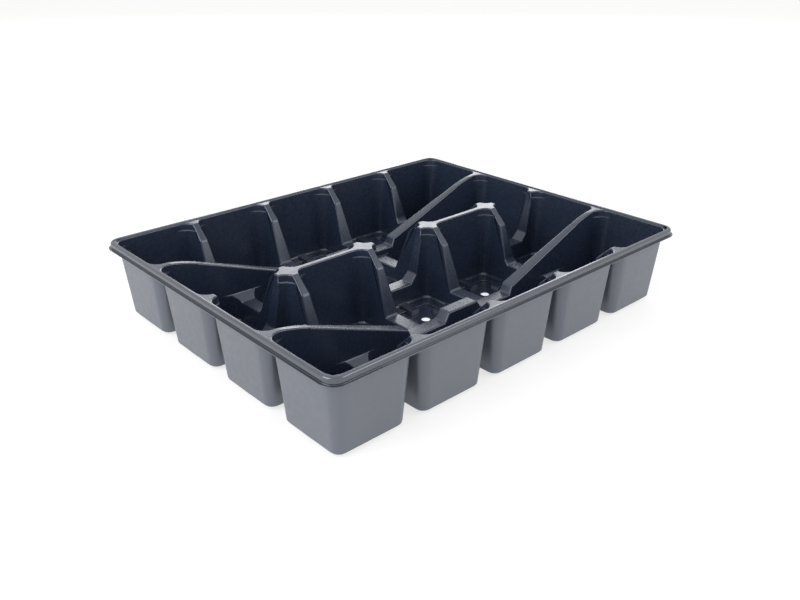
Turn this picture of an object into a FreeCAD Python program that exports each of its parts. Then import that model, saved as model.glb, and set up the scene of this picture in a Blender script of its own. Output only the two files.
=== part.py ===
import FreeCAD, Part
import math
import os

# A carry tray for square nursery pots, thermoformed from one sheet of black plastic.
# A grid of tapered cups hangs from a rolled rim.  Between the cups the sheet runs over narrow webs.
# The webs stand at full height only at the rim and at a row of star-shaped posts, and dip elsewhere.
# Millimetres, +Z up.  The origin is the middle of the base, and +X runs along the longer side.
# Depths are measured down from the top of the rim.

# Layout
columns = 5                   # cups along X
rows = 4                      # cups along Y
pitch = 73.0                  # from the middle of one cup to the next
height = 66.5                 # from the ground to the top of the rim
sheet = 0.8                   # thickness of the formed sheet

# Cup walls
web_width = 5.0               # between two neighbouring cups, at the top of the web
draft = math.radians(5.0)     # lean of every wall
star_radius = 9.5             # cup corners above the ledge, which leave star-shaped posts
ledge_depth = 6.5             # crescent ledge in each cup corner
shoulder_radius = 11.5        # cup corners just below the ledge

# Cup floor
recess_drop = 2.2             # the pad that stands on the ground lies this much below the floor
foot_chamfer = 1.5            # between wall and floor
recess_half = 19.0            # half the width of the recessed pad
recess_radius = 3.0           # its corners
recess_slope = 0.8            # how far its sides lean in
drain_diameter = 7.6          # hole in the middle of each pad
rib_width = 9.0               # raised rib at the middle of each side
rib_gap = 12.4                # from the cup's centre to the end of the rib
rib_rise = 1.5                # rib above the floor

# Rim
rim_rise = 1.0                # rim above the webs
rim_inset = 1.0               # inner side of the rim, inside the outermost grid lines
skirt_out = 2.2               # outer face of the skirt, outside those lines
lip_out = 4.0                 # edge of the lip, outside those lines
skirt_depth = 5.0             # from the top of the rim to the lip
rim_roll = 1.6                # rounding of the rim's top outer edge
corner_radius = 10.0          # skirt, at the tray's corners

# Flats that stand for a quarter turn of each rounding, few where the shape is repeated in every cup
cup_facets = 4
recess_facets = 1
drain_facets = 3
rim_facets = 6
roll_facets = 3

# Dips in the webs that cross the tray, measured from a post or from the rim
strip_height = 19.5           # flat bottom of a dip, above the ground
low_strip_height = 15.8       # the same in the dips next to the tray's middle
dip_start = 9.9               # where the web leaves full height
dip_knee = 21.9               # where the slope steepens
knee_depth = 13.5
dip_foot = 32.3               # where the steep slope ends in a short facet
foot_depth = 42.7
strip_start = 35.2            # where the flat bottom begins
ramp_start = 13.9             # strip, rising towards a long web, from that web's middle
ramp_rise = 5.7

# Dips along the row of posts, measured from a post or from the rim
post_dip_start = 11.0
post_dip_knee = 12.4
post_knee_depth = 12.4
post_dip_foot = 19.1
post_foot_depth = 40.4
post_strip_start = 25.0

# Long webs between the rows, which slope down from the ends of the tray
slope_start = 21.2            # where the slope's line would leave full height, from the end grid line
slope_rate = 0.37             # drop per length
slope_shoulder = 15.2         # half the length of the rounding at its top
step_length = 3.0             # steep step at the foot of the slope
node_height = 20.5            # low stretch, above the ground
node_before = 19.0            # it reaches this far outward from the crossing next to the middle
node_after = 16.0             # and this far inward
saddle_height = 27.8          # level stretch over the middle of the tray, above the ground
saddle_step = 5.0

overhang = 5.0                # how far cutting shapes stand clear of the sheet

length_half = columns * pitch / 2
width_half = rows * pitch / 2
floor_depth = height - sheet - recess_drop
strip_depth = height - strip_height
low_strip_depth = height - low_strip_height
dip_reach = web_width / 2 + shoulder_radius + 2 * sheet


def point(x, y, depth):
    return FreeCAD.Vector(x, y, height - depth)


def wall(depth, grow):
    """Half the width of a cup at a depth, with its wall moved outward by grow."""
    lean = math.tan(draft) * (depth - rim_rise)
    return (pitch - web_width) / 2 - lean + grow / math.cos(draft)


def rounded_ring(half_x, half_y, radius, depth, facets):
    """Points of a level rectangle with round corners, each drawn with a number of short flats."""
    corners = [(1, 1), (-1, 1), (-1, -1), (1, -1)]
    ring = []
    for turn, (side_x, side_y) in enumerate(corners):
        centre = point(side_x * (half_x - radius), side_y * (half_y - radius), depth)
        for step in range(facets + 1):
            angle = math.radians(90 * (turn + step / facets))
            ring.append(centre + FreeCAD.Vector(math.cos(angle), math.sin(angle), 0) * radius)
    return ring


def flat(ring):
    return Part.Face(Part.makePolygon(ring + ring[:1]))


def stacked_block(rings):
    """Solid through level rings of equal point counts, with flat faces between each two of them."""
    faces = [flat(rings[0]), flat(rings[-1])]
    for upper, lower in zip(rings, rings[1:]):
        for here in range(len(upper)):
            before = here - 1
            faces.append(flat([upper[before], upper[here], lower[here], lower[before]]))
    return Part.Solid(Part.makeShell(faces))


def tapered_block(upper, lower, facets):
    """Solid between two level outlines, each given as half width, corner radius and depth."""
    return stacked_block([rounded_ring(half, half, radius, depth, facets)
                          for half, radius, depth in (upper, lower)])


def rounded_block(half_x, half_y, radius, top_depth, bottom_depth):
    outline = flat(rounded_ring(half_x, half_y, radius, bottom_depth, rim_facets))
    return outline.extrude(FreeCAD.Vector(0, 0, bottom_depth - top_depth))


def cup_space(grow):
    """Room inside one cup: star zone, shoulder zone, chamfered foot and recess, less the ribs."""
    star_centre = wall(rim_rise, 0) - star_radius
    shoulder_centre = wall(ledge_depth, 0) - shoulder_radius
    ledge = ledge_depth + grow
    chamfer_top = floor_depth - foot_chamfer
    chamfer_shift = grow * (math.sqrt(2) - 1 / math.cos(draft)) / (1 - math.tan(draft))
    foot = chamfer_top + chamfer_shift
    foot_half = wall(chamfer_top, 0) - foot_chamfer + grow * (math.sqrt(2) - 1)
    bottom = floor_depth + grow

    def section(half, centre, depth):
        return half, half - centre, depth

    top = section(wall(-overhang, grow), star_centre, -overhang)
    star_foot = section(wall(ledge, grow), star_centre, ledge)
    shoulder = section(wall(ledge, grow), shoulder_centre, ledge)
    wall_foot = section(wall(foot, grow), shoulder_centre, foot)
    floor_edge = section(foot_half, shoulder_centre, bottom)
    recess_top = (recess_half + grow, recess_radius + grow, bottom)
    recess_foot = (recess_half - recess_slope + grow, recess_radius - recess_slope + grow,
                   bottom + recess_drop)
    room = tapered_block(top, star_foot, cup_facets)
    room = room.fuse([tapered_block(shoulder, wall_foot, cup_facets),
                      tapered_block(wall_foot, floor_edge, cup_facets),
                      tapered_block(recess_top, recess_foot, recess_facets)])
    return room.cut([rib(grow, quarter) for quarter in range(4)])


def rib(grow, quarter):
    """Raised rib from a cup's wall towards its centre."""
    rib_top = floor_depth - rib_rise + grow
    solid = Part.makeBox(pitch, rib_width - 2 * grow, height,
                         point(rib_gap + grow, grow - rib_width / 2, rib_top + height))
    solid.rotate(FreeCAD.Vector(0, 0, 0), FreeCAD.Vector(0, 0, 1), 90 * quarter)
    return solid


def grown(face, grow):
    """Face enlarged by grow on every side, with sharp corners kept."""
    return face.makeOffset2D(grow, 2) if grow else face


def across_web(path_points, along_y):
    """Upright face over a web's length: pairs of distance and depth, in the XZ or the YZ plane."""
    corners = [point(0, s, d) if along_y else point(s, 0, d) for s, d in path_points]
    return Part.Face(Part.makePolygon(corners + corners[:1]))


def prism(face, along_y, reach):
    """Face pushed out to both sides of its web."""
    side = FreeCAD.Vector(1, 0, 0) if along_y else FreeCAD.Vector(0, 1, 0)
    moved = face.copy()
    moved.translate(side * -reach)
    return moved.extrude(side * 2 * reach)


def lifted_start(start, knee, knee_at):
    """Point above the rim on the line from the knee back through the start of a dip."""
    rate = (knee_at - rim_rise) / (knee - start)
    return start - (rim_rise + overhang) / rate, -overhang


def cross_dip(grow, crossing_is_high):
    """Half a dip along Y: from the side of a long web, over the flat strip, up to a post or the rim."""
    side_top = pitch / 2 - wall(-overhang, 0)
    low = strip_depth if crossing_is_high else low_strip_depth
    side_depth = low - ramp_rise if crossing_is_high else low
    start = lifted_start(dip_start, dip_knee, knee_depth)
    path = [(side_top, -overhang), (pitch / 2 - wall(side_depth, 0), side_depth)]
    if crossing_is_high:
        path.append((ramp_start, low))
    path += [(pitch - strip_start, low), (pitch - dip_foot, foot_depth),
             (pitch - dip_knee, knee_depth), (pitch - start[0], start[1])]
    return prism(grown(across_web(path, True), grow), True, dip_reach)


def post_dip(grow):
    """Dip along X between two posts, or between a post and the rim, centred on the origin."""
    start = lifted_start(post_dip_start, post_dip_knee, post_knee_depth)
    half = [start, (post_dip_knee, post_knee_depth), (post_dip_foot, post_foot_depth),
            (post_strip_start, strip_depth)]
    path = [(s - pitch / 2, d) for s, d in half] + [(pitch / 2 - s, d) for s, d in reversed(half)]
    return prism(grown(across_web(path, False), grow), False, dip_reach)


def long_web_room(grow):
    """Room over a long web: rounded shoulder, slope, low node, saddle, and the same mirrored."""
    end = -length_half
    node = end + pitch * ((columns - 1) // 2)
    node_depth = height - node_height
    saddle_depth = height - saddle_height
    shoulder_end = slope_start + slope_shoulder
    slope_foot = node - node_before - step_length

    def slope_depth(distance):
        return rim_rise + slope_rate * (distance - slope_start)

    first = (end + slope_start - slope_shoulder, rim_rise - sheet)
    middle = (end + slope_start, rim_rise + slope_rate * slope_shoulder / 4)
    last = (end + shoulder_end, slope_depth(shoulder_end))
    path = [last, (slope_foot, slope_depth(slope_foot - end)), (node - node_before, node_depth),
            (node + node_after, node_depth), (node + node_after + saddle_step, saddle_depth)]
    edges = []
    for side in (1, -1):
        ends = [point(side * s, 0, d) for s, d in path]
        edges += [Part.makeLine(a, b) for a, b in zip(ends, ends[1:])]
        edges.append(Part.Arc(*[point(side * s, 0, d) for s, d in (first, middle, last)]).toShape())
        edges.append(Part.makeLine(point(side * first[0], 0, first[1]), point(side * first[0], 0, -overhang)))
    edges.append(Part.makeLine(point(path[-1][0], 0, saddle_depth), point(-path[-1][0], 0, saddle_depth)))
    edges.append(Part.makeLine(point(first[0], 0, -overhang), point(-first[0], 0, -overhang)))
    outline = Part.Wire(Part.__sortEdges__(edges))
    return prism(grown(Part.Face(outline), grow), False, dip_reach)


def placed(solid, x, y, turn=0):
    copy = solid.copy()
    copy.rotate(FreeCAD.Vector(0, 0, 0), FreeCAD.Vector(0, 0, 1), turn)
    copy.translate(FreeCAD.Vector(x, y, 0))
    return copy


def room_above(grow):
    """All that is open above the sheet, inside the rim, enlarged by grow."""
    room = [rounded_block(length_half - rim_inset + grow, width_half - rim_inset + grow,
                          star_radius + grow, -overhang, rim_rise + grow)]
    cup = cup_space(grow)
    for column in range(columns):
        for row in range(rows):
            room.append(placed(cup, (column + 0.5) * pitch - length_half, (row + 0.5) * pitch - width_half))
    node_lines = ((columns - 1) // 2, columns - (columns - 1) // 2)
    for line in range(1, columns):
        dip = cross_dip(grow, line not in node_lines)
        for row in range(1, rows, 2):
            for turn in (0, 180):
                room.append(placed(dip, line * pitch - length_half, row * pitch - width_half, turn))
    long_room = long_web_room(grow)
    for row in range(1, rows, 2):
        room.append(placed(long_room, 0, row * pitch - width_half))
    dip = post_dip(grow)
    for row in range(2, rows, 2):
        for column in range(0, columns, 2):
            room.append(placed(dip, (column + 0.5) * pitch - length_half, row * pitch - width_half))
    return room


def body_under(inset, spread):
    """Block under the rim, skirt and lip, its upper faces moved in by inset, its edge out by spread."""
    base_depth = height + overhang + spread
    roll = rim_roll - inset
    rings = []
    for step in range(roll_facets + 1):
        angle = math.radians(90 * step / roll_facets)
        shrink = inset + roll * (1 - math.sin(angle))
        rings.append(rounded_ring(length_half + skirt_out - shrink, width_half + skirt_out - shrink,
                                  corner_radius - shrink, inset + roll * (1 - math.cos(angle)), rim_facets))
    rings.append([corner - FreeCAD.Vector(0, 0, base_depth - rim_roll) for corner in rings[-1]])
    lip_radius = corner_radius + lip_out - skirt_out + spread
    lip = rounded_block(length_half + lip_out + spread, width_half + lip_out + spread, lip_radius,
                        skirt_depth + inset, base_depth)
    return stacked_block(rings).fuse(lip)


def drain():
    """Cutter for the drain hole of a cup at the origin."""
    sides = 4 * drain_facets
    radius = drain_diameter / 2
    ring = []
    for step in range(sides):
        angle = math.radians(360 * step / sides)
        ring.append(point(radius * math.cos(angle), radius * math.sin(angle), height + overhang))
    return flat(ring).extrude(FreeCAD.Vector(0, 0, 2 * overhang))


def tray():
    """The formed sheet: what lies between its upper and its lower face, with the drain holes."""
    above = body_under(0, 0).cut(room_above(0))
    below = body_under(sheet, overhang).cut(room_above(sheet))
    formed = above.cut(below)
    drains = []
    for column in range(columns):
        for row in range(rows):
            drains.append(placed(drain(), (column + 0.5) * pitch - length_half,
                                 (row + 0.5) * pitch - width_half))
    return formed.cut(drains)


os.makedirs("parts", exist_ok=True)
solid = tray()
solid.exportStep("parts/tray.step")
box = solid.BoundBox
print("solids", len(solid.Solids), "faces", len(solid.Faces), "valid", solid.isValid())
print("size", box.XLength, box.YLength, box.ZLength, "lowest", box.ZMin, "volume", solid.Volume)
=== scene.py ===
import math

import bmesh
import bpy
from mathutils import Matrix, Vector


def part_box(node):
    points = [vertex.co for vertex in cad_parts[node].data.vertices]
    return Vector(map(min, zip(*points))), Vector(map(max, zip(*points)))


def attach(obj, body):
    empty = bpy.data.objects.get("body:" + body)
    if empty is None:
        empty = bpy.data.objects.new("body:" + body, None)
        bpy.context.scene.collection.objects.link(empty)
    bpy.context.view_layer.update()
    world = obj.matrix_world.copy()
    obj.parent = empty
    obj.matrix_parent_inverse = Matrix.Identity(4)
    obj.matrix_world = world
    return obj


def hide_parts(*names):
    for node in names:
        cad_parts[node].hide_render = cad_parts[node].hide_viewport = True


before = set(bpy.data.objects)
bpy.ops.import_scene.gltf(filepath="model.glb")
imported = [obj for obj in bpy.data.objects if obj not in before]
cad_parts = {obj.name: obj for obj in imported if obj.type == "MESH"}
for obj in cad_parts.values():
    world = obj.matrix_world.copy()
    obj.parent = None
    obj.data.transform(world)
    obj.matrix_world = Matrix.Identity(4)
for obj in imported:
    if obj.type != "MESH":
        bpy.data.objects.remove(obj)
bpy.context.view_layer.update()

# The formed sheet is the whole tray: one sheet of black polystyrene, heated and drawn down over a mould,
# then trimmed at the lip and punched for drains.  The mould leaves every edge slightly rounded, so this
# piece is the solid's own surface with its flats joined and its edges rounded.
cup_pitch = 0.073
cup_columns, cup_rows = 5, 4
tray_high = Vector(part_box("tray")[1])
merge_distance = 0.000002       # corners closer than this are one corner
flat_angle = math.radians(0.3)  # faces that differ by less are one flat

sheet_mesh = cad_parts["tray"].data.copy()
sheet_mesh.materials.clear()
formed_sheet = bpy.data.objects.new("formed_sheet", sheet_mesh)
bpy.context.scene.collection.objects.link(formed_sheet)
bpy.ops.object.select_all(action="DESELECT")
formed_sheet.select_set(True)
bpy.context.view_layer.objects.active = formed_sheet
bpy.ops.mesh.customdata_custom_splitnormals_clear()
bpy.ops.object.mode_set(mode="EDIT")
bpy.ops.mesh.select_mode(type="EDGE")
bpy.ops.mesh.select_all(action="SELECT")
bpy.ops.mesh.remove_doubles(threshold=merge_distance)
# A cut through the middle of each cup, both ways, leaves no flat with a hole in it.
cuts = [((column - (cup_columns - 1) / 2) * cup_pitch, (1, 0, 0)) for column in range(cup_columns)]
cuts += [((row - (cup_rows - 1) / 2) * cup_pitch, (0, 1, 0)) for row in range(cup_rows)]
for offset, across in cuts:
    bpy.ops.mesh.select_all(action="SELECT")
    bpy.ops.mesh.bisect(plane_co=Vector(across) * offset, plane_no=across, threshold=merge_distance)
    bpy.ops.mesh.mark_seam(clear=False)
bpy.ops.mesh.select_all(action="SELECT")
bpy.ops.mesh.dissolve_limited(angle_limit=flat_angle, delimit={"SEAM"})
bpy.ops.object.mode_set(mode="OBJECT")

# The crescent ledges in the cup corners slope: their inner corners, each above two of the flats that make a
# round cup corner, go down a little.
ledge_zone = (0.0060, 0.0078)  # depths below the rim's top between which the ledges lie
ledge_fall = 0.0009            # how far a ledge slopes down towards the cup
both_ways = 0.1                # a flat of a round corner faces along X and along Y by more than this
flat_drop = 0.01               # the middle of such a flat lies further than this below its ledge

shape = bmesh.new()
shape.from_mesh(sheet_mesh)
for corner in shape.verts:
    if not ledge_zone[0] < tray_high.z - corner.co.z < ledge_zone[1]:
        continue
    flats_below = 0
    for face in corner.link_faces:
        in_round_corner = min(abs(face.normal.x), abs(face.normal.y)) > both_ways
        if in_round_corner and corner.co.z - face.calc_center_median().z > flat_drop:
            flats_below += 1
    if flats_below == 2:
        corner.co.z -= ledge_fall
shape.to_mesh(sheet_mesh)
shape.free()

# The dips of the webs take the full rounding, and other edges take a share of it.  The ledges take none.
edge_radius = 0.0014
top_zone, top_share = 0.0062, 0.75       # depth of the web tops and posts, and their share
rim_zone, rim_share = 0.0062, 0.2        # width of rim, skirt and lip, from the lip's edge inwards
floor_zone, floor_share = 0.0066, 0.35   # height of ribs, recess and chamfer above the ground
drain_zone, drain_share = 0.0012, 0.15   # height of the punched drain edges and the pads' rims


def edge_share(middle):
    """How much of the full rounding an edge takes, by where its middle lies."""
    depth = tray_high.z - middle.z
    past_lip = max(abs(middle.x) - tray_high.x, abs(middle.y) - tray_high.y)
    if ledge_zone[0] < depth < ledge_zone[1]:
        return 0.0
    if depth < top_zone:
        return rim_share if past_lip > -rim_zone else top_share
    if middle.z < drain_zone:
        return drain_share
    if middle.z < floor_zone:
        return floor_share
    return 1.0


# Plain edges are rounded wherever they lie.  Slight bends, such as the knee of a dip, are rounded only where
# they run level, because the upright ones are the flats of the cups' round corners.
plain_edge = math.radians(33)
slight_bend = math.radians(11)
level_rise = 0.2               # rise per length, up to which an edge counts as level
edge_shares = {}
for sharpest, level_only in ((slight_bend, True), (plain_edge, False)):
    bpy.ops.object.mode_set(mode="EDIT")
    bpy.ops.mesh.select_all(action="DESELECT")
    bpy.ops.mesh.edges_select_sharp(sharpness=sharpest)
    bpy.ops.object.mode_set(mode="OBJECT")
    for edge in sheet_mesh.edges:
        first, second = (sheet_mesh.vertices[i].co for i in edge.vertices)
        rise = abs(first.z - second.z) / (first - second).length
        if edge.select and not (level_only and rise > level_rise):
            edge_shares[edge.index] = edge_share((first + second) / 2)
rounding = sheet_mesh.attributes.new("bevel_weight_edge", "FLOAT", "EDGE")
for edge_index, share in edge_shares.items():
    rounding.data[edge_index].value = share
bevel = formed_sheet.modifiers.new("edges", "BEVEL")
bevel.limit_method = "WEIGHT"
bevel.width = edge_radius
bevel.segments = 3
bevel.use_clamp_overlap = False
bpy.ops.object.modifier_apply(modifier=bevel.name)
smooth_bend = math.radians(38)  # edges sharper than this stay sharp in the shading
bpy.ops.object.shade_smooth_by_angle(angle=smooth_bend)
even_shading = formed_sheet.modifiers.new("even_shading", "WEIGHTED_NORMAL")
even_shading.keep_sharp = True
even_shading.weight = 80
bpy.ops.object.modifier_apply(modifier=even_shading.name)


def linear(hex_colour):
    """Linear colour with full alpha from an sRGB hex value such as '1b202a'."""
    parts = [int(hex_colour[i:i + 2], 16) / 255 for i in (0, 2, 4)]
    return tuple(p / 12.92 if p <= 0.04045 else ((p + 0.055) / 1.055) ** 2.4 for p in parts) + (1.0,)


def add_node(tree, kind, settings=None, values=None, links=None):
    """Adds one shader node; links maps its input sockets to (node, output socket)."""
    node = tree.nodes.new(kind)
    for name, value in (settings or {}).items():
        setattr(node, name, value)
    for socket, value in (values or {}).items():
        node.inputs[socket].default_value = value
    for socket, (source, output) in (links or {}).items():
        tree.links.new(source.outputs[output], node.inputs[socket])
    return node


# Polystyrene, thermoformed: blue-black all through.  The outer faces, which look down towards the white
# table, are given a lighter grey colour, which is painted reflection of the table and the lamps.  They are
# rougher too, so their gloss is satin.  The other side kept the gloss of the rolled sheet, and so did the
# rim, which was hardly stretched; the rim's colour, a little lighter than the inside's, is painted sheen.  A
# drawn sheet is never quite flat, which gives soft, slightly wavy highlights, and its gloss is uneven.  The
# grain that makes it so is far too fine to show, so it is drawn some millimetres coarse.
wave_length = 0.018
grain_size = 0.004
for name, colour, ior, roughness_low, roughness_high, wave_height in (
        ("satin_polystyrene_painted_reflection", "5e626c", 2.0, 0.34, 0.46, 0.0003),
        ("glossy_black_polystyrene", "252e40", 1.75, 0.24, 0.32, 0.0002),
        ("rim_polystyrene_painted_sheen", "31363f", 2.1, 0.12, 0.22, 0.0003)):
    polystyrene = bpy.data.materials.new(name)
    polystyrene.use_nodes = True
    tree = polystyrene.node_tree
    tree.nodes.clear()
    place = add_node(tree, "ShaderNodeTexCoord")
    pull = add_node(tree, "ShaderNodeTexNoise",
                    values={"Scale": 1 / wave_length, "Detail": 2.0, "Roughness": 0.45},
                    links={"Vector": (place, "Object")})
    haze = add_node(tree, "ShaderNodeTexNoise",
                    values={"Scale": 1 / grain_size, "Detail": 3.0, "Roughness": 0.55},
                    links={"Vector": (place, "Object")})
    gloss = add_node(tree, "ShaderNodeMapRange",
                     values={"From Min": 0.3, "From Max": 0.7,
                             "To Min": roughness_low, "To Max": roughness_high},
                     links={"Value": (haze, "Fac")})
    waves = add_node(tree, "ShaderNodeBump",
                     values={"Strength": 0.2, "Distance": wave_height},
                     links={"Height": (pull, "Fac")})
    surface = add_node(tree, "ShaderNodeBsdfPrincipled",
                       values={"Base Color": linear(colour), "IOR": ior, "Specular Tint": linear("e6ecf6")},
                       links={"Roughness": (gloss, "Result"), "Normal": (waves, "Normal")})
    add_node(tree, "ShaderNodeOutputMaterial", links={"Surface": (surface, "BSDF")})
    sheet_mesh.materials.append(polystyrene)

# Every wall leans, so the inner faces of the cups look up a little and the outer ones look down.  The outer
# ones take the lighter colour that paints the table's reflection, and the rim takes its lighter colour,
# which is painted sheen.
outside_painted_reflection, glossy_inside, rim_painted_sheen = range(3)
rim_width = 0.0052             # rim, skirt and lip, from the lip's edge inwards
rim_depth = 0.0062             # the same, downwards
lean = 0.02                    # the walls look up or down by more than this part of their normal
for face in sheet_mesh.polygons:
    past_lip = max(abs(face.center.x) - tray_high.x, abs(face.center.y) - tray_high.y)
    depth = tray_high.z - face.center.z
    if past_lip > -rim_width and depth < rim_depth and face.normal.z > -lean:
        face.material_index = rim_painted_sheen
    elif face.normal.z > lean:
        face.material_index = glossy_inside
    else:
        face.material_index = outside_painted_reflection

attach(formed_sheet, "root")
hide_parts("tray")

# Floor: a wide pale studio table that the tray stands on.  Seen directly or in a reflection it gives part of
# its own light, so it reads as white, and it still takes the tray's shadow.
floor_gap = 0.00015            # a hair below the pads, so that the two don't lie in one plane
bpy.ops.object.select_all(action="DESELECT")
bpy.ops.mesh.primitive_plane_add(size=8.0, location=(0, 0, -floor_gap))
floor = bpy.context.active_object
floor.name = "floor"
table = bpy.data.materials.new("white_table")
table.use_nodes = True
tree = table.node_tree
tree.nodes.clear()
ray = add_node(tree, "ShaderNodeLightPath")
seen_itself = add_node(tree, "ShaderNodeMath", {"operation": "MAXIMUM"},
                       links={0: (ray, "Is Camera Ray"), 1: (ray, "Is Glossy Ray")})
seen = add_node(tree, "ShaderNodeMath", {"operation": "MAXIMUM"},
                links={0: (seen_itself, 0), 1: (ray, "Is Transmission Ray")})
plain = add_node(tree, "ShaderNodeBsdfDiffuse", values={"Color": linear("f2f2f0")})
half_plain = add_node(tree, "ShaderNodeBsdfDiffuse", values={"Color": linear("b4b4b2")})
glow = add_node(tree, "ShaderNodeEmission", values={"Color": linear("ffffff"), "Strength": 0.70})
lit = add_node(tree, "ShaderNodeAddShader", links={0: (half_plain, "BSDF"), 1: (glow, "Emission")})
mixed = add_node(tree, "ShaderNodeMixShader",
                 links={0: (seen, 0), 1: (plain, "BSDF"), 2: (lit, "Shader")})
add_node(tree, "ShaderNodeOutputMaterial", links={"Surface": (mixed, "Shader")})
floor.data.materials.append(table)

# Light: a white room, brighter where it is seen than where it lights, and three large soft boxes.  Two of
# them light the outer walls, and the third, low behind the tray, is mirrored in the web tops.
studio = bpy.data.worlds.new("studio")
bpy.context.scene.world = studio
studio.use_nodes = True
tree = studio.node_tree
tree.nodes.clear()
ray = add_node(tree, "ShaderNodeLightPath")
seen_itself = add_node(tree, "ShaderNodeMath", {"operation": "MAXIMUM"},
                       links={0: (ray, "Is Camera Ray"), 1: (ray, "Is Glossy Ray")})
seen = add_node(tree, "ShaderNodeMath", {"operation": "MAXIMUM"},
                links={0: (seen_itself, 0), 1: (ray, "Is Transmission Ray")})
room_fill = add_node(tree, "ShaderNodeBackground", values={"Color": linear("ffffff"), "Strength": 0.55})
room_seen = add_node(tree, "ShaderNodeBackground", values={"Color": linear("ffffff"), "Strength": 1.0})
room = add_node(tree, "ShaderNodeMixShader",
                links={0: (seen, 0), 1: (room_fill, "Background"), 2: (room_seen, "Background")})
add_node(tree, "ShaderNodeOutputWorld", links={"Surface": (room, "Shader")})

for name, position, width, height, power in (
        ("left_box", (-1.3, 0.1, 0.9), 1.2, 1.2, 13.0),
        ("right_box", (0.9, -1.5, 1.1), 1.0, 1.0, 8.0),
        ("back_box", (1.28, 1.41, 0.70), 1.3, 0.55, 8.2)):
    light = bpy.data.lights.new(name, "AREA")
    light.shape = "RECTANGLE"
    light.size = width
    light.size_y = height
    light.energy = power
    lamp = bpy.data.objects.new(name, light)
    bpy.context.scene.collection.objects.link(lamp)
    lamp.location = position
    lamp.rotation_euler = (-Vector(position)).to_track_quat("-Z", "Y").to_euler()

# Camera: at the front left corner, looking over the tray at a shallow angle.
heading = math.radians(47.73)  # from +X towards +Y
tilt = math.radians(25.57)     # downwards
view_line = Vector((math.cos(tilt) * math.cos(heading),
                    math.cos(tilt) * math.sin(heading),
                    -math.sin(tilt)))
camera_data = bpy.data.cameras.new("camera")
camera_data.lens = 36.55
camera_data.sensor_width = 36.0
camera_data.shift_x = 0.0032
camera_data.shift_y = -0.0038
camera_data.clip_start = 0.01
camera = bpy.data.objects.new("camera", camera_data)
bpy.context.scene.collection.objects.link(camera)
camera.location = (-0.42343, -0.46705, 0.30995)
camera.rotation_euler = view_line.to_track_quat("-Z", "Y").to_euler()
bpy.context.scene.camera = camera
bpy.context.scene.view_settings.view_transform = "Standard"
